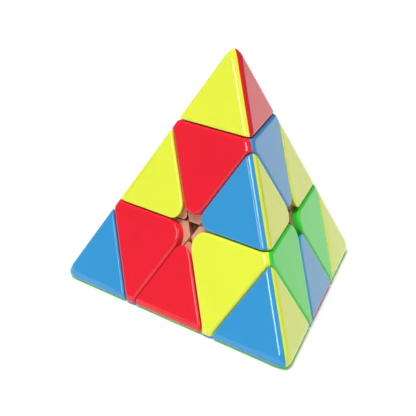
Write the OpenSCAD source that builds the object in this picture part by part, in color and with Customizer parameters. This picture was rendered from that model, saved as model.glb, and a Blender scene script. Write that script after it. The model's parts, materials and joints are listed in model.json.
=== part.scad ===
// Pyramid twisty puzzle: four layers that turn about the four corners, and a small tip on each corner.
// The origin is the centre of the core, where all four turning axes meet. +Z points at the top corner.

/* [Size] */
// Length of a side, measured over its rounded corners
side_len = 98; // [90:1:110]
// Rounding of the long edges and of the corners
round_r = 1.8; // [1.5:0.1:2.2]

/* [Cuts] */
// Gap between neighbouring pieces
gap = 0.4; // [0.3:0.05:0.5]
// How far a layer's cut lies outside the third of the face's distance from the centre
cut_out = 0.45; // [0:0.05:0.6]
// How far a tip's cut lies beyond the third of the side
neck = 1; // [0.8:0.1:1.6]

/* [Tiles] */
// Thickness of a coloured tile
tile_t = 2.4; // [2:0.1:2.8]
// How far an edge tile's corner stays short of the face centre
edge_hole = 5.4; // [4:0.1:6]
// How far an axial tile's corner stays short of the face centre
axial_hole = 4.1; // [3:0.1:5]
// How far an edge piece's end stays short of its sharp corner
end_trim = 2.5; // [2:0.1:3]

/* [Inner bodies] */
// Wall thickness of the moulded inner bodies
wall = 1.6; // [1.2:0.1:2]
// Outer radius of the edge pieces' feet, which ride under the axial pieces
foot_r = 15.5; // [15:0.1:16]
// Thickness of the feet
foot_t = 3.5; // [3:0.1:3.6]
// Distance from the centre to the edge of the feet, along each of their turning axes
foot_cut = 5.8; // [5.6:0.1:6]
// Half length of a foot, across the line between its two axes
foot_half = 8; // [6:0.5:9]

/* [Core] */
// Radius of the core's ball
ball_r = 8.6; // [8:0.1:9]
// Radius of each arm of the core
arm_r = 3.4; // [3.2:0.1:3.6]
// Distance from the core's centre to the end of an arm
arm_end = 13; // [12.5:0.1:13.2]
// Radial clearance of turning fits
fit = 0.05; // [0.03:0.01:0.1]

/* [Screws and springs] */
// Radius of the screws' shanks
shank_r = 1.5; // [1.4:0.05:1.55]
// Radius of the screws' heads
head_r = 2.7; // [2.5:0.05:2.8]
// Thickness of the screws' heads
head_t = 2; // [1.6:0.1:2.2]
// Thickness of the washers
washer_t = 0.6; // [0.5:0.1:0.8]
// Fitted length of a spring
spring_len = 6.6; // [6:0.1:7]
// Diameter of the spring wire
wire_d = 0.7; // [0.6:0.05:0.8]
// Turns of a spring
spring_turns = 5; // [4:1:6]

/* [Hidden] */
$fn = 64;
// Length of a side of the sharp pyramid, and its inner and outer radii
sharp_len = side_len + 2 * (sqrt(6) - 1) * round_r;
face_d = sharp_len / (2 * sqrt(6));
corner_d = 3 * face_d;
edge_d = sharp_len / (2 * sqrt(2));
// Distances from the centre to the cuts under a layer and under a tip, along the turning axis
layer_cut = face_d / 3 + cut_out;
tip_cut = corner_d - (sharp_len / 3 - neck) * sqrt(2 / 3);
// Distances to the rounded edges and to the rounded corners
round_edge_d = edge_d - (sqrt(3) - 1) * round_r;
round_corner_d = corner_d - 2 * round_r;
// Distance to the back of the tiles
back_d = face_d - tile_t;
// Half length of an edge piece
end_d = sharp_len / 6 - end_trim;
// Distance from the centre to the ridge where two layer cuts meet
ridge_d = layer_cut * sqrt(3);
ridge_round = 1.5;
// Distance of the face centres along an edge's middle direction, and the rise from them per unit along a face
face_mid_d = face_d / sqrt(3);
face_rise = sqrt(2 / 3);
// Underside of the axial pieces, over the feet
cup_r = foot_r + 0.3;
// Axial piece: stem, shelf for the spring, bore, and the post that carries the tip
stem_low = ball_r + 0.6;
stem_r = 5.6;
shelf_d = arm_end + 0.3;
shelf_t = 2;
bore_r = 3.1;
post_r = 4.2;
post_top = tip_cut + 4;
snap_r = post_r + 0.4;
snap_t = 1.2;
// Screw, washer and spring places along the axis
spring_low = shelf_d + shelf_t + 0.05;
washer_low = spring_low + spring_len;
head_low = washer_low + washer_t;
screw_low = 4.2;
plate_t = 2;
rim_in = 0.5;
span = 300;

// Corner directions: top, left, front, right. A face is numbered by the corner opposite to it.
CORNERS = ["top", "left", "front", "right"];
FACES = ["bottom", "right", "back", "left"];
DIR = concat([[0, 0, 1]], [for (a = [150, -90, 30]) [cos(a) * sqrt(8) / 3, sin(a) * sqrt(8) / 3, -1 / 3]]);
EDGES = [[0, 1], [0, 2], [0, 3], [1, 2], [2, 3], [1, 3]];

// Colours of the tiles: for each corner piece, one for each face number; for each edge piece, one for each face number
YELLOW = [0.93, 0.98, 0.27];
RED = [0.97, 0.16, 0.23];
BLUE = [0.25, 0.62, 0.87];
GREEN = [0.3, 0.85, 0.32];
NONE = [0, 0, 0];
TAN = [0.79, 0.56, 0.45];
TIP_PAINT = [
    [NONE, RED, BLUE, YELLOW],
    [GREEN, NONE, RED, BLUE],
    [GREEN, YELLOW, NONE, BLUE],
    [GREEN, YELLOW, RED, NONE]
];
AXIAL_PAINT = [
    [NONE, BLUE, YELLOW, RED],
    [BLUE, NONE, GREEN, RED],
    [BLUE, GREEN, NONE, YELLOW],
    [RED, GREEN, YELLOW, NONE]
];
EDGE_PAINT = [
    [NONE, NONE, GREEN, YELLOW],
    [NONE, YELLOW, NONE, BLUE],
    [NONE, YELLOW, RED, NONE],
    [GREEN, NONE, NONE, RED],
    [RED, BLUE, NONE, NONE],
    [GREEN, NONE, BLUE, NONE]
];

function unit(v) = v / norm(v);
// The corners other than those in a list
function others(used) = [for (i = [0:3]) if (len(search(i, used)) == 0) i];
function mid_dir(a, b) = unit(DIR[a] + DIR[b]);
function along_dir(a, b) = unit(DIR[a] - DIR[b]);
// Direction in face f from its centre toward corner a
function face_dir(a, f) = unit(DIR[a] + DIR[f] / 3);
// Plane that splits the edge between faces f and g, with the side of face g cut away
function mitre(f, g) = [unit(DIR[f] - DIR[g]), 0];

function tip_name(a) = str("tip_", CORNERS[a]);
function axial_name(a) = str("axial_", CORNERS[a]);
function edge_name(e) = str("edge_", CORNERS[e[0]], "_", CORNERS[e[1]]);
function tile_name(piece, f) = str(piece, "_tile_", FACES[f]);

// Turns +Z to a direction
module toward(n) {
    rotate([0, acos(n[2]), atan2(n[1], n[0])]) children();
}

// Everything past distance d along n
module past(n, d) {
    toward(n) translate([-span / 2, -span / 2, d]) cube(span);
}

// What is left of the children after everything past each plane [n, d] is cut away
module trim(planes) {
    difference() {
        children();
        for (p = planes) past(p[0], p[1]);
    }
}

// A convex solid bounded by planes
module block(planes) {
    trim(planes) translate([-span / 4, -span / 4, -span / 4]) cube(span / 2);
}

// A rod about the axis of corner a, from distance low to high
module rod(a, r, low, high) {
    toward(DIR[a]) translate([0, 0, low]) cylinder(r = r, h = high - low);
}

// The planes of a tile's outer and inner surface on face f
function slab(f) = [[-DIR[f], face_d], [DIR[f], -back_d]];

// The planes that keep a solid under the tiles of the given faces
function under(faces) = [for (f = faces) [-DIR[f], back_d]];

module edge_tile(e, f) {
    g = 6 - e[0] - e[1] - f;
    block(concat(slab(f), [
        [-DIR[e[0]], -layer_cut - gap / 2],
        [-DIR[e[1]], -layer_cut - gap / 2],
        mitre(f, g),
        [mid_dir(e[0], e[1]), round_edge_d],
        [-mid_dir(e[0], e[1]), -face_mid_d - edge_hole * face_rise],
        [along_dir(e[0], e[1]), end_d],
        [along_dir(e[1], e[0]), end_d]
    ]));
}

// The room that the edge piece beside corner a, toward corner b, takes out of an axial tile
module edge_room(a, b) {
    block([
        [-DIR[b], -layer_cut + gap / 2],
        [along_dir(a, b), end_d + gap]
    ]);
}

module axial_tile(a, f) {
    sides = others([a, f]);
    difference() {
        block(concat(slab(f), [
            [-DIR[a], -layer_cut - gap / 2],
            [DIR[a], tip_cut - gap / 2],
            [-face_dir(a, f), -axial_hole]
        ], [for (g = sides) mitre(f, g)], [for (g = sides) [mid_dir(a, 6 - a - f - g), round_edge_d]]));
        for (b = sides) edge_room(a, b);
    }
}

module tip_tile(a, f) {
    sides = others([a, f]);
    block(concat(slab(f), [
        [-DIR[a], -tip_cut - gap / 2],
        [DIR[a], round_corner_d]
    ], [for (g = sides) mitre(f, g)], [for (g = sides) [mid_dir(a, 6 - a - f - g), round_edge_d]]));
}

// Rounds off the ridge of an edge piece, where its two layer cuts meet
module ridge_cut(a, b, r) {
    low = ridge_d + gap / 2 * sqrt(3);
    axis_d = low + r * sqrt(3) - 0.02;
    difference() {
        past(-mid_dir(a, b), -axis_d + r / sqrt(3));
        translate(mid_dir(a, b) * axis_d) toward(unit(cross(DIR[a], DIR[b])))
            cylinder(r = r, h = span / 4, center = true);
    }
}

// Turns +X to a direction x and +Z to a direction z square to it
module turned(x, z) {
    y = cross(z, x);
    multmatrix([[x[0], y[0], z[0], 0], [x[1], y[1], z[1], 0], [x[2], y[2], z[2], 0], [0, 0, 0, 1]]) children();
}

// The foot of an edge piece: part of a ball shell that reaches under both its axial pieces
module foot(a, b) {
    side = unit(cross(DIR[a], DIR[b]));
    intersection() {
        turned(-mid_dir(a, b), side) difference() {
            sphere(r = foot_r);
            sphere(r = foot_r - foot_t);
        }
        block([[-DIR[a], -foot_cut], [-DIR[b], -foot_cut], [side, foot_half], [-side, foot_half]]);
    }
}

// The shoe of an axial piece, which fills the ball shell between the feet of its edge pieces
module shoe(a) {
    intersection() {
        difference() {
            sphere(r = foot_r);
            sphere(r = foot_r - foot_t);
        }
        block(concat([[-DIR[a], -foot_cut]], [for (b = others([a])) [DIR[b], foot_cut - gap]]));
    }
}

module edge_base(e) {
    a = e[0];
    b = e[1];
    faces = others(e);
    cut = layer_cut + gap / 2;
    color(TAN) union() {
        difference() {
            block(concat(under(faces), [
                [-DIR[a], -cut],
                [-DIR[b], -cut],
                [mid_dir(a, b), back_d * sqrt(3) - 1],
                [along_dir(a, b), end_d - rim_in],
                [along_dir(b, a), end_d - rim_in]
            ]));
            ridge_cut(a, b, ridge_round);
            block([
                [-DIR[a], -cut - wall],
                [-DIR[b], -cut - wall],
                [-mid_dir(a, b), -face_mid_d - (edge_hole + wall) * face_rise],
                [along_dir(a, b), end_d - rim_in - wall],
                [along_dir(b, a), end_d - rim_in - wall]
            ]);
        }
        foot(a, b);
    }
}

module axial_base(a) {
    rest = others([a]);
    color(TAN) difference() {
        union() {
            difference() {
                block(concat(under(rest), [
                    [-DIR[a], -layer_cut - gap / 2],
                    [DIR[a], tip_cut - gap / 2]
                ], [for (b = rest) [DIR[b], layer_cut - gap / 2]], [for (f = rest) [-face_dir(a, f), -1]]));
                sphere(r = cup_r);
                difference() {
                    block(concat([
                        [-DIR[a], -layer_cut - gap / 2 - wall],
                        [DIR[a], tip_cut - gap / 2 - wall]
                    ], [for (b = rest) [DIR[b], layer_cut - gap / 2 - wall]],
                    [for (f = rest) [-face_dir(a, f), -axial_hole - wall]]));
                    sphere(r = cup_r + wall);
                }
            }
            shoe(a);
            rod(a, stem_r, stem_low, cup_r + wall);
            rod(a, post_r, cup_r, post_top);
            rod(a, snap_r, post_top - snap_t, post_top);
        }
        rod(a, arm_r + fit, 0, shelf_d);
        rod(a, shank_r + 2 * fit, 0, post_top);
        rod(a, bore_r, shelf_d + shelf_t, post_top + 1);
    }
}

module tip_base(a) {
    rest = others([a]);
    floor_d = tip_cut + gap / 2;
    color(TAN) difference() {
        trim(under(rest)) union() {
            rod(a, sharp_len / 3, floor_d, floor_d + plate_t);
            rod(a, snap_r + wall, floor_d, post_top + 0.4 + wall);
        }
        rod(a, post_r + fit, floor_d - 1, post_top);
        rod(a, snap_r + 2 * fit, post_top - snap_t - 0.1, post_top + 0.4);
    }
}

module core() {
    color("lightgray") difference() {
        union() {
            rotate([0, 90, 0]) sphere(r = ball_r);
            for (a = [0:3]) rod(a, arm_r, ball_r - 3, arm_end);
        }
        for (a = [0:3]) rod(a, shank_r + 0.02, screw_low - 0.4, arm_end + 1);
    }
}

module core_screws() {
    slot_w = 0.8;
    color("silver") for (a = [0:3]) difference() {
        union() {
            rod(a, shank_r, screw_low, head_low + 0.1);
            rod(a, head_r, head_low, head_low + head_t);
        }
        toward(DIR[a]) for (turn = [0, 90]) rotate([0, 0, turn])
            translate([-head_r * 0.65, -slot_w / 2, head_low + head_t - 1.1])
            cube([head_r * 1.3, slot_w, 2]);
    }
}

module spring_washers() {
    color("gainsboro") for (a = [0:3]) difference() {
        rod(a, bore_r - 0.15, washer_low, head_low);
        rod(a, shank_r + fit, washer_low - 1, head_low + 1);
    }
}

// A round wire wound into a helix about +Z, from z = low to z = high
module coil(low, high, r, wire, turns) {
    steps = 16 * turns;
    sides = 8;
    rise = (high - low - wire) / steps;
    points = [for (i = [0:steps]) for (k = [0:sides - 1])
        let (t = 360 * turns * i / steps, p = 360 * k / sides, q = r + wire / 2 * cos(p))
        [q * cos(t), q * sin(t), low + wire / 2 + rise * i + wire / 2 * sin(p)]];
    skin = [for (i = [0:steps - 1]) for (k = [0:sides - 1])
        let (n = (k + 1) % sides)
        [i * sides + k, i * sides + n, (i + 1) * sides + n, (i + 1) * sides + k]];
    ends = [[for (k = [sides - 1:-1:0]) k], [for (k = [0:sides - 1]) steps * sides + k]];
    polyhedron(points, concat(skin, ends), convexity = 10);
}

module spring(a) {
    color("silver") toward(DIR[a])
        coil(spring_low, washer_low, bore_r - wire_d / 2 - 0.3, wire_d, spring_turns);
}

core();
core_screws();
spring_washers();
for (a = [0:3]) {
    spring(a);
    axial_base(a);
    tip_base(a);
    for (f = others([a])) {
        color(AXIAL_PAINT[a][f]) axial_tile(a, f);
        color(TIP_PAINT[a][f]) tip_tile(a, f);
    }
}
for (i = [0:len(EDGES) - 1]) {
    e = EDGES[i];
    edge_base(e);
    for (f = others(e)) {
        color(EDGE_PAINT[i][f]) edge_tile(e, f);
    }
}
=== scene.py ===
"""The looks of a pyramid twisty puzzle, laid out as a Blender add-on and built round its CAD frame.

The 36 coloured tiles are modelled here, each kind once, and copied to their places.
The bodies under the tiles, the core, its screws, washers and springs keep their CAD shape and get a finish.
"""

import json
import math

import bmesh
import bpy
from bpy.props import FloatProperty, FloatVectorProperty, IntProperty, PointerProperty
from mathutils import Matrix, Vector

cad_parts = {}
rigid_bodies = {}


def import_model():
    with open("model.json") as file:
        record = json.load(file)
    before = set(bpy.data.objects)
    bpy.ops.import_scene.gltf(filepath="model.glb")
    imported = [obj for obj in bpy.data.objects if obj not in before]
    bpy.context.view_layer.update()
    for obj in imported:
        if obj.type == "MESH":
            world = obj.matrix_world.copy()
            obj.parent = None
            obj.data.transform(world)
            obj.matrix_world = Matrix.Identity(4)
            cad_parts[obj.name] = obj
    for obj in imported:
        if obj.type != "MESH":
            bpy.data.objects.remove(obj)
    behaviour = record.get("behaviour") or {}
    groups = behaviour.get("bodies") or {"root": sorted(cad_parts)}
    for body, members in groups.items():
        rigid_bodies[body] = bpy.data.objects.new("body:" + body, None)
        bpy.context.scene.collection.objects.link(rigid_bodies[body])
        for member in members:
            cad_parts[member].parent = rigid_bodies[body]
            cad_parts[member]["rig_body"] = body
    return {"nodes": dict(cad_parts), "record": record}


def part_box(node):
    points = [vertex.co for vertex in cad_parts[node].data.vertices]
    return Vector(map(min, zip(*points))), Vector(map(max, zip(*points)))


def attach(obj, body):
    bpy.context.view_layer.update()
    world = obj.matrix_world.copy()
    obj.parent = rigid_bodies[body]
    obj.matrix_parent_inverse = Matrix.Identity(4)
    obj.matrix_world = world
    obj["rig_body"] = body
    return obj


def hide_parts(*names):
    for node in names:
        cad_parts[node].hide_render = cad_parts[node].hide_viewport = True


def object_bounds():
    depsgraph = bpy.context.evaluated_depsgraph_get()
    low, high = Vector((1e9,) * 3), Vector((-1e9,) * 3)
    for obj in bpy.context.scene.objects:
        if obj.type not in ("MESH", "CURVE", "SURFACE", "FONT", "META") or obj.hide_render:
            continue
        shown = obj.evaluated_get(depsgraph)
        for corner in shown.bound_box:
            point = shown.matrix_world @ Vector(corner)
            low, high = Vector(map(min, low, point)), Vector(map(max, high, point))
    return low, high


bl_info = {
    "name": "Pyramid Twisty Puzzle",
    "version": (1, 0, 0),
    "blender": (4, 5, 0),
    "location": "View3D > Sidebar > Puzzle",
    "description": "Models the tiles of a pyramid twisty puzzle and sets its finishes, lights and camera",
    "category": "Add Mesh",
}

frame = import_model()
CAD_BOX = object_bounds()
SLOTS = {part["node"]: part["material_slot"] for part in frame["record"]["subparts"]}

# Tiles are modelled in millimetres and brought to the frame's metres when they are finished
MM = 0.001

# The corners, and the faces numbered by the corner opposite to each
CORNERS = ("top", "left", "front", "right")
FACES = ("bottom", "right", "back", "left")
EDGES = ((0, 1), (0, 2), (0, 3), (1, 2), (2, 3), (1, 3))
BASE_TURNS = (150, -90, 30)
DIR = [Vector((0, 0, 1))] + [
    Vector((math.cos(turn) * math.sqrt(8) / 3, math.sin(turn) * math.sqrt(8) / 3, -1 / 3))
    for turn in map(math.radians, BASE_TURNS)
]


def box_mm(node):
    """Lowest and highest corner of a CAD node, in millimetres."""
    low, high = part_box(node)
    return low / MM, high / MM


# Sizes of the tiles in millimetres, read off the boxes of the CAD's own tiles
TIP_BOX = box_mm("tip_top_tile_left")
AXIAL_BOX = box_mm("axial_top_tile_left")
BASE_TILE_BOX = box_mm("edge_left_right_tile_bottom")
# The faces lie this far inside the CAD's, which leaves room for the slight bulge of a rounded corner
BULGE = 0.01
# Distances from the centre to a face, to the back of its tiles, to a sharp edge and to a sharp corner
FACE_D = -BASE_TILE_BOX[0].z - BULGE
BACK_D = -BASE_TILE_BOX[1].z
EDGE_D = FACE_D * math.sqrt(3)
CORNER_D = FACE_D * 3
# Radius of the long edges, whose ridge lies this far from the centre
ROUND_R = (CORNER_D - TIP_BOX[1].z) / 2
RIDGE_D = EDGE_D - (math.sqrt(3) - 1) * ROUND_R
GAP = TIP_BOX[0].z - AXIAL_BOX[1].z
# Where the tips, the axial pieces and the layers are cut, along their turning axes
TIP_LOW = TIP_BOX[0].z
AXIAL_TOP = AXIAL_BOX[1].z
LAYER_LOW = box_mm("edge_top_left_tile_left")[0].z
# Half length of an edge piece, and how far the tiles stay away from the middle of a face
EDGE_END = BASE_TILE_BOX[1].x
EDGE_HOLE = BASE_TILE_BOX[0].y
AXIAL_HOLE = -box_mm("axial_front_tile_bottom")[1].y

# A turning axis leans this much towards the middle of an edge, and this much along that edge
TO_MID = 1 / math.sqrt(3)
TO_END = math.sqrt(2 / 3)
# Size of the block that a piece is carved from
BLOCK = CORNER_D * 4
# Points closer than this to a slice's plane are on it, and points closer than MERGE to each other are one
ON_PLANE = 1e-4
MERGE = 1e-3
# Facets that turn by less than the first angle are one flat facet; past the second, their edge shades sharp
FLAT_ANGLE = math.radians(0.05)
SHARP_ANGLE = math.radians(35)


def linear(code):
    """An sRGB hex colour as three linear values."""
    parts = (int(code[i:i + 2], 16) / 255 for i in (0, 2, 4))
    return tuple(p / 12.92 if p <= 0.04045 else ((p + 0.055) / 1.055) ** 2.4 for p in parts)


class PuzzleShape(bpy.types.PropertyGroup):
    """How the tiles' edges and corners are rounded."""

    edge_reach: FloatProperty(
        name="Edge reach", subtype="FACTOR", default=2.2, min=1.45, max=2.4,
        description="How far the rounding of a long edge reaches into a face, in edge radii")
    edge_fullness: FloatProperty(
        name="Edge fullness", subtype="FACTOR", default=0.635, min=0.5, max=0.7,
        description="Profile of the long edges' rounding, where 0.5 is a plain arc")
    seam_reach: FloatProperty(
        name="Seam reach", unit="LENGTH", default=1.15 * MM, min=0.3 * MM, max=1.3 * MM, precision=5,
        description="How far the rounding of a seam reaches into a tile")
    seam_fullness: FloatProperty(
        name="Seam fullness", subtype="FACTOR", default=0.62, min=0.5, max=0.7,
        description="Profile of the seams' rounding, where 0.5 is a plain arc")
    edge_steps: IntProperty(
        name="Edge steps", subtype="UNSIGNED", default=16, min=4, max=20,
        description="Strips in the rounding of a long edge")
    seam_steps: IntProperty(
        name="Seam steps", subtype="UNSIGNED", default=8, min=2, max=12,
        description="Strips in the rounding of a seam")
    corner_steps: IntProperty(
        name="Corner steps", subtype="UNSIGNED", default=14, min=6, max=24,
        description="Facets round a tile's rounded corner")


class PuzzleColours(bpy.types.PropertyGroup):
    """Colours of the plastics and metals."""

    tile_yellow: FloatVectorProperty(
        name="Yellow", description="Colour of the yellow tiles", subtype="COLOR", min=0, max=1,
        default=linear("F0FC46"))
    tile_red: FloatVectorProperty(
        name="Red", description="Colour of the red tiles", subtype="COLOR", min=0, max=1,
        default=linear("F51F34"))
    tile_blue: FloatVectorProperty(
        name="Blue", description="Colour of the blue tiles", subtype="COLOR", min=0, max=1,
        default=linear("389EDD"))
    tile_green: FloatVectorProperty(
        name="Green", description="Colour of the green tiles", subtype="COLOR", min=0, max=1,
        default=linear("40EB40"))
    inner_tan: FloatVectorProperty(
        name="Tan", description="Colour of the bodies under the tiles", subtype="COLOR", min=0, max=1,
        default=linear("E3A584"))
    core_grey: FloatVectorProperty(
        name="Core grey", description="Colour of the core", subtype="COLOR", min=0, max=1,
        default=linear("C9CACB"))
    screw_steel: FloatVectorProperty(
        name="Screw steel", description="Colour of the screws' plating", subtype="COLOR", min=0, max=1,
        default=linear("C6C8CC"))
    spring_steel: FloatVectorProperty(
        name="Spring steel", description="Colour of the spring wire", subtype="COLOR", min=0, max=1,
        default=linear("B4B6BA"))


# ---- Directions ----


def others(used):
    """The corners or faces that aren't in a list."""
    return [i for i in range(4) if i not in used]


def mid_dir(a, b):
    """From the centre to the middle of the edge between corners a and b."""
    return (DIR[a] + DIR[b]).normalized()


def along_dir(a, b):
    """Along an edge, from corner b to corner a."""
    return (DIR[a] - DIR[b]).normalized()


def face_dir(a, f):
    """Within face f, from its middle to corner a."""
    return (DIR[a] + DIR[f] / 3).normalized()


def turn_between(start, end):
    """The turn that takes the corners listed in start to those in end."""
    first, last = (Matrix([DIR[i] for i in corners[:3]]).transposed() for corners in (start, end))
    return (last @ first.inverted()).to_4x4()


# ---- Modelling, as by hand ----


def only(obj):
    """Makes obj the one selected and active object."""
    bpy.ops.object.select_all(action="DESELECT")
    obj.select_set(True)
    bpy.context.view_layer.objects.active = obj


def new_block(centre):
    """A cube to carve a piece from."""
    bpy.ops.object.select_all(action="DESELECT")
    bpy.ops.mesh.primitive_cube_add(size=BLOCK, location=centre)
    bpy.ops.object.transform_apply(location=True, rotation=True, scale=True)
    return bpy.context.active_object


def slice_off(obj, normal, distance):
    """Slices away what lies past the plane square to normal at a distance, and closes the slice."""
    only(obj)
    bpy.ops.object.mode_set(mode="EDIT")
    bpy.ops.mesh.select_all(action="SELECT")
    bpy.ops.mesh.bisect(
        plane_co=normal * distance, plane_no=normal, use_fill=True, clear_outer=True,
        threshold=ON_PLANE)
    bpy.ops.object.mode_set(mode="OBJECT")


def round_off(obj, centre, radius, start, end, steps):
    """Rounds obj off about a centre line, with a fan of slices between the directions start and end."""
    whole = start.angle(end)
    for i in range(1, steps):
        part = i / steps * whole
        normal = (start * math.sin(whole - part) + end * math.sin(part)) / math.sin(whole)
        slice_off(obj, normal, normal.dot(centre) + radius)


def bevel_where(obj, chosen, reach, steps, fullness):
    """Rounds the edges for which chosen(edge) is true."""
    only(obj)
    bpy.ops.object.mode_set(mode="EDIT")
    bpy.ops.mesh.select_mode(type="EDGE")
    bpy.ops.mesh.select_all(action="DESELECT")
    mesh = bmesh.from_edit_mesh(obj.data)
    mesh.normal_update()
    for edge in mesh.edges:
        edge.select_set(len(edge.link_faces) == 2 and chosen(*edge.link_faces))
    bmesh.update_edit_mesh(obj.data)
    bpy.ops.mesh.bevel(
        offset_type="OFFSET", offset=reach, segments=steps, profile=fullness, affect="EDGES",
        clamp_overlap=False, loop_slide=False)
    bpy.ops.object.mode_set(mode="OBJECT")


def round_long_edges(obj, faces, shape):
    """Rounds the long edges where the listed faces of the pyramid meet, and the corner of three."""
    same = 0.9999

    def is_outer(face):
        return any(face.normal.dot(-DIR[f]) > same for f in faces)

    bevel_where(
        obj, lambda first, second: is_outer(first) and is_outer(second),
        ROUND_R * shape.edge_reach, shape.edge_steps, shape.edge_fullness)


def round_seams(obj, f, steepest, shape):
    """Rounds a tile's skin over to its sides, but not to its mitres or its back.

    The sides' normals lean out by less than steepest; those of the mitres and the back lean in
    by more than mitre_lean.
    """
    mitre_lean = -0.75

    def leans(face):
        return face.normal.dot(-DIR[f])

    bevel_where(
        obj, lambda first, second: mitre_lean < min(leans(first), leans(second)) < steepest
        <= max(leans(first), leans(second)),
        shape.seam_reach / MM, shape.seam_steps, shape.seam_fullness)


def hollow_with(obj, cutter):
    """Takes the cutter's shape out of obj, and removes the cutter."""
    only(obj)
    room = obj.modifiers.new("Room", "BOOLEAN")
    room.operation = "DIFFERENCE"
    room.solver = "EXACT"
    room.object = cutter
    bpy.ops.object.modifier_apply(modifier=room.name)
    bpy.data.objects.remove(cutter)


def merge_flat(obj):
    """Merges points that lie on each other, and facets that lie flat beside each other."""
    only(obj)
    bpy.ops.object.mode_set(mode="EDIT")
    bpy.ops.mesh.select_all(action="SELECT")
    bpy.ops.mesh.remove_doubles(threshold=MERGE)
    bpy.ops.mesh.dissolve_limited(angle_limit=FLAT_ANGLE)
    bpy.ops.object.mode_set(mode="OBJECT")


def check_closed(obj):
    """Stops with an error if a tile's skin isn't closed."""
    skin = bmesh.new()
    skin.from_mesh(obj.data)
    gaps = sum(not edge.is_manifold for edge in skin.edges)
    skin.free()
    if gaps:
        raise RuntimeError(f"{obj.name} has {gaps} open edges")


def finish_tile(obj):
    """Shades a tile smooth over its roundings and flat on its faces, and brings it to metres."""
    only(obj)
    bpy.ops.object.mode_set(mode="EDIT")
    bpy.ops.mesh.select_all(action="SELECT")
    bpy.ops.mesh.remove_doubles(threshold=MERGE)
    bpy.ops.mesh.normals_make_consistent(inside=False)
    bpy.ops.object.mode_set(mode="OBJECT")
    check_closed(obj)
    bpy.ops.object.shade_smooth_by_angle(angle=SHARP_ANGLE)
    flat = obj.modifiers.new("Flat faces", "WEIGHTED_NORMAL")
    flat.keep_sharp = True
    bpy.ops.object.modifier_apply(modifier=flat.name)
    obj.scale = (MM, MM, MM)
    bpy.ops.object.transform_apply(location=True, rotation=True, scale=True)


# ---- The three kinds of tile ----


def keep_tile(block, f, neighbours):
    """Keeps face f's tile of a piece: cuts the mitres to the neighbouring faces, and the back."""
    for g in neighbours:
        slice_off(block, (DIR[f] - DIR[g]).normalized(), 0)
    slice_off(block, DIR[f], -BACK_D)


def corner_block(a, shape):
    """The pyramid's corner a, with its three long edges and its point rounded."""
    faces = others([a])
    block = new_block(DIR[a] * CORNER_D / 2)
    for f in faces:
        slice_off(block, -DIR[f], FACE_D)
    round_long_edges(block, faces, shape)
    return block


def nose_arc(a, b):
    """Centre and radius of the round nose of edge piece (a, b), at its end towards corner a.

    The arc runs from the cut of layer b to the plane that ends the piece, which it meets at the ridge.
    """
    radius = (TO_MID * RIDGE_D - TO_END * EDGE_END - LAYER_LOW) / (1 - TO_END)
    centre = mid_dir(a, b) * RIDGE_D + along_dir(a, b) * (EDGE_END - radius)
    return centre, radius


def tip_tile(a, f, shape):
    """The tile of face f on the tip at corner a."""
    tile = corner_block(a, shape)
    slice_off(tile, -DIR[a], -TIP_LOW)
    keep_tile(tile, f, others([a, f]))
    round_seams(tile, f, steepest=-0.2, shape=shape)
    finish_tile(tile)
    return tile


def edge_room(a, b, shape):
    """The room that edge piece (a, b) takes out of the axial piece at corner a, with its gap."""
    room = new_block(mid_dir(a, b) * RIDGE_D)
    centre, radius = nose_arc(a, b)
    slice_off(room, -DIR[b], GAP - LAYER_LOW)
    slice_off(room, along_dir(a, b), EDGE_END + GAP)
    round_off(room, centre, radius + GAP, -DIR[b], along_dir(a, b), shape.corner_steps // 2)
    return room


def axial_tile(a, f, shape):
    """The tile of face f on the axial piece at corner a: a kite with a neck on each long edge."""
    sides = others([a, f])
    tile = corner_block(a, shape)
    slice_off(tile, DIR[a], AXIAL_TOP)
    slice_off(tile, -DIR[a], -LAYER_LOW)
    keep_tile(tile, f, sides)
    for b in sides:
        hollow_with(tile, edge_room(a, b, shape))
    merge_flat(tile)
    # The corner at the middle of the face is an arc between the cuts of the two layers beside it
    past_middle = 2 * (LAYER_LOW - GAP - FACE_D / 3) / (TO_END * 2 * TO_MID)
    radius = AXIAL_HOLE + past_middle
    centre = face_dir(a, f) * (AXIAL_HOLE + radius) - DIR[f] * FACE_D
    first, second = (face_dir(b, f) for b in sides)
    round_off(tile, centre, radius, first, second, shape.corner_steps)
    round_seams(tile, f, steepest=0.45, shape=shape)
    finish_tile(tile)
    return tile


def edge_tile(a, b, f, shape):
    """The tile of face f on edge piece (a, b): a triangle with a round nose at each end."""
    g = others([a, b, f])[0]
    tile = new_block(mid_dir(a, b) * EDGE_D)
    for face in (f, g):
        slice_off(tile, -DIR[face], FACE_D)
    round_long_edges(tile, (f, g), shape)
    for corner in (a, b):
        slice_off(tile, -DIR[corner], -LAYER_LOW)
    keep_tile(tile, f, [g])
    for end, start in ((a, b), (b, a)):
        centre, radius = nose_arc(end, start)
        slice_off(tile, along_dir(end, start), EDGE_END)
        round_off(tile, centre, radius, -DIR[start], along_dir(end, start), shape.corner_steps // 2)
    # The corner at the middle of the face is an arc between the cuts of layers a and b
    short = FACE_D * TO_MID + EDGE_HOLE * TO_END - LAYER_LOW / TO_MID
    radius = short / (1 / TO_MID - 1)
    centre = mid_dir(a, b) * (LAYER_LOW + radius) / TO_MID
    round_off(tile, centre, radius, -DIR[a], -DIR[b], shape.corner_steps)
    round_seams(tile, f, steepest=0.2, shape=shape)
    finish_tile(tile)
    return tile


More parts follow.
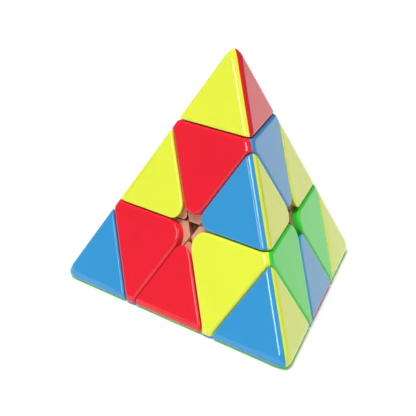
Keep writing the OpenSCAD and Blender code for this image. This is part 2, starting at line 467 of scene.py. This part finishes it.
def place_copies(model, start, places):
    """Copies a finished tile to its places, and gives each copy its body, its CAD tile and its finish.

    start is the order of corners that the model was made with.
    Each place is the name of a CAD node and its order of corners.
    """
    for node, order in places:
        only(model)
        bpy.ops.object.duplicate()
        tile = bpy.context.active_object
        tile.name = node.replace("_tile_", "_cap_")
        tile.data.name = tile.name
        tile.matrix_world = turn_between(start, order)
        bpy.ops.object.transform_apply(location=True, rotation=True, scale=True)
        slot = SLOTS[node]
        tile.data.materials.clear()
        tile.data.materials.append(finish(slot))
        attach(tile, frame["nodes"][node]["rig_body"])
        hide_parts(node)
    bpy.data.objects.remove(model)


def proper_order(a, f):
    """Corners in an order that starts with a and f, and that one turn of the pyramid can bring about."""
    b, c = others([a, f])
    order = [a, f, b, c]
    swaps = sum(order[i] > order[j] for i in range(4) for j in range(i + 1, 4))
    return order if swaps % 2 == 0 else [a, f, c, b]


# ---- Finishes ----

# A mix node has sockets for every type of data, and colours use these
MIX_A, MIX_B, MIX_RESULT = 6, 7, 2


def add_node(tree, kind, links=(), **settings):
    """Adds a node, sets its values and properties, and links (its input, another node's output) pairs."""
    node = tree.nodes.new(kind)
    for name, value in settings.items():
        if name in node.inputs:
            node.inputs[name].default_value = value
        else:
            setattr(node, name, value)
    for socket, output in links:
        tree.links.new(node.inputs[socket], output)
    return node


def finish(slot):
    """The material of one of the record's slots, made the first time that it is asked for."""
    maker, name = FINISHES[slot]
    made = bpy.data.materials.get(name)
    return made or maker(name, (*getattr(bpy.context.scene.puzzle_colours, slot), 1))


def new_material(name):
    """An empty material with its output node and a source of object coordinates."""
    material = bpy.data.materials.new(name)
    material.use_nodes = True
    tree = material.node_tree
    tree.nodes.clear()
    place = add_node(tree, "ShaderNodeTexCoord").outputs["Object"]
    return material, tree, place


def per_metre(size_mm):
    """Scale of a noise whose lumps are about size_mm across."""
    return 1 / (size_mm * MM)


def glossy_abs(name, colour):
    """Glossy moulded ABS: a saturated, mirror-like skin with faint orange peel and handling haze."""
    material, tree, place = new_material(name)
    # The pigment is a little deeper where the melt flowed slowly, over about a centimetre
    flow = add_node(tree, "ShaderNodeTexNoise", [("Vector", place)], Scale=per_metre(14), Detail=1.0)
    tone = add_node(tree, "ShaderNodeMix", [("Factor", flow.outputs["Fac"])], data_type="RGBA")
    tone.inputs[MIX_A].default_value = colour
    tone.inputs[MIX_B].default_value = (*(part * 0.94 for part in colour[:3]), 1)
    # Fingers leave patches a little duller than the moulded gloss
    haze = add_node(tree, "ShaderNodeTexNoise", [("Vector", place)], Scale=per_metre(6), Detail=3.0)
    dull = add_node(tree, "ShaderNodeMapRange", [("Value", haze.outputs["Fac"])])
    dull.inputs["To Min"].default_value = 0.08
    dull.inputs["To Max"].default_value = 0.13
    # Orange peel of a polished mould, about 2 mm from crest to crest and under a micron deep
    peel = add_node(tree, "ShaderNodeTexNoise", [("Vector", place)], Scale=per_metre(2), Detail=0.0)
    skin = add_node(
        tree, "ShaderNodeBump", [("Height", peel.outputs["Fac"])], Strength=0.12, Distance=0.01 * MM)
    gloss = add_node(
        tree, "ShaderNodeBsdfPrincipled",
        [("Base Color", tone.outputs[MIX_RESULT]), ("Roughness", dull.outputs["Result"]),
         ("Normal", skin.outputs["Normal"])],
        IOR=1.53)
    add_node(tree, "ShaderNodeOutputMaterial", [("Surface", gloss.outputs["BSDF"])])
    return material


def satin_plastic(name, colour):
    """Satin moulded ABS or nylon: an unpolished mould's fine grain softens every highlight."""
    material, tree, place = new_material(name)
    # Inner mouldings are coloured less evenly than tiles, in patches of a few millimetres
    flow = add_node(tree, "ShaderNodeTexNoise", [("Vector", place)], Scale=per_metre(5), Detail=2.0)
    tone = add_node(tree, "ShaderNodeMix", [("Factor", flow.outputs["Fac"])], data_type="RGBA")
    tone.inputs[MIX_A].default_value = colour
    tone.inputs[MIX_B].default_value = (*(part * 0.86 for part in colour[:3]), 1)
    # Spark-eroded grain is 0.05 mm, drawn at 0.25 mm so that it shows
    grain = add_node(tree, "ShaderNodeTexNoise", [("Vector", place)], Scale=per_metre(0.25), Detail=2.0)
    skin = add_node(
        tree, "ShaderNodeBump", [("Height", grain.outputs["Fac"])], Strength=0.25, Distance=0.02 * MM)
    satin = add_node(
        tree, "ShaderNodeBsdfPrincipled",
        [("Base Color", tone.outputs[MIX_RESULT]), ("Normal", skin.outputs["Normal"])],
        IOR=1.53, Roughness=0.38)
    add_node(tree, "ShaderNodeOutputMaterial", [("Surface", satin.outputs["BSDF"])])
    return material


def drawn_metal(name, colour):
    """Zinc-plated or drawn steel: bright grey, with fine tool marks and patches of duller plating."""
    material, tree, place = new_material(name)
    patches = add_node(tree, "ShaderNodeTexNoise", [("Vector", place)], Scale=per_metre(1.2), Detail=3.0)
    dull = add_node(tree, "ShaderNodeMapRange", [("Value", patches.outputs["Fac"])])
    dull.inputs["To Min"].default_value = 0.1
    dull.inputs["To Max"].default_value = 0.42
    # Tool marks are a few hundredths of a millimetre apart, drawn at 0.15 mm so that they show
    marks = add_node(tree, "ShaderNodeTexNoise", [("Vector", place)], Scale=per_metre(0.15), Detail=1.0)
    skin = add_node(
        tree, "ShaderNodeBump", [("Height", marks.outputs["Fac"])], Strength=0.15, Distance=0.01 * MM)
    metal = add_node(
        tree, "ShaderNodeBsdfPrincipled",
        [("Roughness", dull.outputs["Result"]), ("Normal", skin.outputs["Normal"])], Metallic=1.0)
    metal.inputs["Base Color"].default_value = colour
    add_node(tree, "ShaderNodeOutputMaterial", [("Surface", metal.outputs["BSDF"])])
    return material


FINISHES = {
    "tile_yellow": (glossy_abs, "glossy_moulded_abs_yellow"),
    "tile_red": (glossy_abs, "glossy_moulded_abs_red"),
    "tile_blue": (glossy_abs, "glossy_moulded_abs_blue"),
    "tile_green": (glossy_abs, "glossy_moulded_abs_green"),
    "inner_tan": (satin_plastic, "satin_moulded_abs_tan"),
    "core_grey": (satin_plastic, "satin_moulded_nylon_grey"),
    "screw_steel": (drawn_metal, "zinc_plated_steel"),
    "spring_steel": (drawn_metal, "drawn_spring_steel"),
}


# ---- Stage ----


def look_from(azimuth, elevation):
    """Directions back to the camera, to its right and up, for angles in degrees."""
    turn, rise = math.radians(azimuth), math.radians(elevation)
    back = Vector((math.sin(turn) * math.cos(rise), -math.cos(turn) * math.cos(rise), math.sin(rise)))
    right = Vector((math.cos(turn), math.sin(turn), 0))
    return back, right, back.cross(right)


def add_strip_light(name, direction, distance, width, length, radiance):
    """A strip light that faces the puzzle, along its front edge, and shows only as a reflection.

    Its measures are in metres. A radiance of 1 is about that of white paper under the overhead light.
    """
    back = Vector(direction).normalized()
    across = along_dir(0, 2).cross(back).normalized()
    turn = Matrix((across, back.cross(across), back)).transposed()
    bpy.ops.object.select_all(action="DESELECT")
    bpy.ops.object.light_add(type="AREA", location=back * distance, rotation=turn.to_euler())
    light = bpy.context.active_object
    light.name = name
    light.data.shape = "RECTANGLE"
    light.data.size = width
    light.data.size_y = length
    light.data.energy = radiance * math.pi * width * length
    light.visible_diffuse = False


def make_floor():
    """A plain white floor that the puzzle stands on, with a faint painted glow."""
    bpy.ops.object.select_all(action="DESELECT")
    bpy.ops.mesh.primitive_plane_add(size=6, location=(0, 0, CAD_BOX[0].z))
    floor = bpy.context.active_object
    floor.name = "floor"
    material, tree, place = new_material("white_paper")
    # Matt paper: the fibres make it a trace uneven, over a few millimetres
    fibres = add_node(tree, "ShaderNodeTexNoise", [("Vector", place)], Scale=per_metre(3), Detail=2.0)
    skin = add_node(
        tree, "ShaderNodeBump", [("Height", fibres.outputs["Fac"])], Strength=0.05, Distance=0.02 * MM)
    paper = add_node(
        tree, "ShaderNodeBsdfPrincipled", [("Normal", skin.outputs["Normal"])], Roughness=0.9)
    paper.inputs["Base Color"].default_value = (0.9, 0.9, 0.9, 1)
    # It glows a little, a painted glow like that of a sheet on a light table, which keeps the puzzle's
    # shadow faint
    paper.inputs["Emission Color"].default_value = (1, 1, 1, 1)
    paper.inputs["Emission Strength"].default_value = 0.1
    add_node(tree, "ShaderNodeOutputMaterial", [("Surface", paper.outputs["BSDF"])])
    floor.data.materials.append(material)


def make_world():
    """White to the camera, and a dimmer studio to everything that it lights and that mirrors it."""
    world = bpy.data.worlds.new("studio")
    bpy.context.scene.world = world
    world.use_nodes = True
    tree = world.node_tree
    tree.nodes.clear()
    ray = add_node(tree, "ShaderNodeLightPath")
    room = add_node(tree, "ShaderNodeBackground", Strength=0.15)
    room.inputs["Color"].default_value = (1, 1, 1, 1)
    white = add_node(tree, "ShaderNodeBackground", Strength=1.2)
    white.inputs["Color"].default_value = (1, 1, 1, 1)
    both = add_node(tree, "ShaderNodeMixShader", [("Fac", ray.outputs["Is Camera Ray"])])
    tree.links.new(both.inputs[1], room.outputs["Background"])
    tree.links.new(both.inputs[2], white.outputs["Background"])
    add_node(tree, "ShaderNodeOutputWorld", [("Surface", both.outputs["Shader"])])


def make_lights():
    """A broad light overhead, and two strip lights whose glints run down the front edge."""
    bpy.ops.object.select_all(action="DESELECT")
    # Its direction, with a length that scales its strength: at 1, white paper facing it looks white
    overhead = Vector((-0.23, -0.15, 0.95))
    bpy.ops.object.light_add(type="SUN", rotation=overhead.to_track_quat("Z", "Y").to_euler())
    sun = bpy.context.active_object
    sun.name = "overhead"
    sun.data.energy = overhead.length * math.pi
    sun.data.angle = math.radians(36)
    # The gloss mirrors the strip lights, the floor and the dim room, but not this light's broad disc
    sun.visible_glossy = False
    add_strip_light(
        "left_glint", direction=(-0.909, -0.145, 0.389), distance=0.6, width=0.11, length=0.3, radiance=14)
    add_strip_light(
        "front_glint", direction=(0.36, -0.6, 0.71), distance=0.6, width=0.12, length=0.3, radiance=9)


def make_camera():
    """A short telephoto, a little above the puzzle and to the left of its front edge."""
    back, right, up = look_from(azimuth=-15.54, elevation=20.68)
    distance = 0.3972
    aim_right, aim_up = -0.00806, 0.00775
    place = back * distance
    target = right * aim_right + up * aim_up
    rotation = (place - target).to_track_quat("Z", "Y").to_euler()
    bpy.ops.object.select_all(action="DESELECT")
    bpy.ops.object.camera_add(location=place, rotation=rotation)
    camera = bpy.context.active_object
    camera.name = "camera"
    camera.data.sensor_width = 36
    camera.data.lens = 108.8
    bpy.context.scene.camera = camera


# ---- Operators ----


class PUZZLE_OT_tip_tiles(bpy.types.Operator):
    """Models the tips' tiles"""

    bl_idname = "puzzle.tip_tiles"
    bl_label = "Tip tiles"

    def execute(self, context):
        start = proper_order(0, 3)
        model = tip_tile(start[0], start[1], context.scene.puzzle_shape)
        places = [
            (f"tip_{CORNERS[a]}_tile_{FACES[f]}", proper_order(a, f))
            for a in range(4) for f in others([a])]
        place_copies(model, start, places)
        return {"FINISHED"}


class PUZZLE_OT_axial_tiles(bpy.types.Operator):
    """Models the axial pieces' tiles"""

    bl_idname = "puzzle.axial_tiles"
    bl_label = "Axial tiles"

    def execute(self, context):
        start = proper_order(0, 3)
        model = axial_tile(start[0], start[1], context.scene.puzzle_shape)
        places = [
            (f"axial_{CORNERS[a]}_tile_{FACES[f]}", proper_order(a, f))
            for a in range(4) for f in others([a])]
        place_copies(model, start, places)
        return {"FINISHED"}


class PUZZLE_OT_edge_tiles(bpy.types.Operator):
    """Models the edge pieces' tiles"""

    bl_idname = "puzzle.edge_tiles"
    bl_label = "Edge tiles"

    def execute(self, context):
        # An order has the tile's face, the face beyond the edge, and then the edge's own corners
        start = proper_order(3, 1)
        model = edge_tile(start[2], start[3], start[0], context.scene.puzzle_shape)
        places = [
            (f"edge_{CORNERS[a]}_{CORNERS[b]}_tile_{FACES[f]}", proper_order(f, others([a, b, f])[0]))
            for a, b in EDGES for f in others([a, b])]
        place_copies(model, start, places)
        return {"FINISHED"}


class PUZZLE_OT_inner_finishes(bpy.types.Operator):
    """Gives the bodies under the tiles, the core, its screws, washers and springs their finishes"""

    bl_idname = "puzzle.inner_finishes"
    bl_label = "Inner finishes"

    def execute(self, context):
        for node, obj in frame["nodes"].items():
            if "_tile_" not in node:
                for place in obj.material_slots:
                    place.material = finish(SLOTS[node])
        return {"FINISHED"}


class PUZZLE_OT_stage(bpy.types.Operator):
    """Sets the floor, the lights and the camera"""

    bl_idname = "puzzle.stage"
    bl_label = "Stage"

    def execute(self, context):
        context.scene.view_settings.view_transform = "Standard"
        make_floor()
        make_world()
        make_lights()
        make_camera()
        return {"FINISHED"}


class PUZZLE_PT_panel(bpy.types.Panel):
    """Lists the puzzle's steps and its settings"""

    bl_idname = "PUZZLE_PT_panel"
    bl_label = "Pyramid Puzzle"
    bl_space_type = "VIEW_3D"
    bl_region_type = "UI"
    bl_category = "Puzzle"

    def draw(self, context):
        for step in STEPS:
            self.layout.operator(step.bl_idname)
        for group in (context.scene.puzzle_shape, context.scene.puzzle_colours):
            for name in group.__annotations__:
                self.layout.prop(group, name)


STEPS = (
    PUZZLE_OT_tip_tiles, PUZZLE_OT_axial_tiles, PUZZLE_OT_edge_tiles, PUZZLE_OT_inner_finishes,
    PUZZLE_OT_stage)
CLASSES = (PuzzleShape, PuzzleColours, *STEPS, PUZZLE_PT_panel)


def register():
    for cls in CLASSES:
        bpy.utils.register_class(cls)
    bpy.types.Scene.puzzle_shape = PointerProperty(type=PuzzleShape)
    bpy.types.Scene.puzzle_colours = PointerProperty(type=PuzzleColours)


def unregister():
    del bpy.types.Scene.puzzle_colours
    del bpy.types.Scene.puzzle_shape
    for cls in reversed(CLASSES):
        bpy.utils.unregister_class(cls)


def main():
    register()
    bpy.ops.puzzle.tip_tiles()
    bpy.ops.puzzle.axial_tiles()
    bpy.ops.puzzle.edge_tiles()
    bpy.ops.puzzle.inner_finishes()
    bpy.ops.puzzle.stage()


if __name__ == "__main__":
    main()
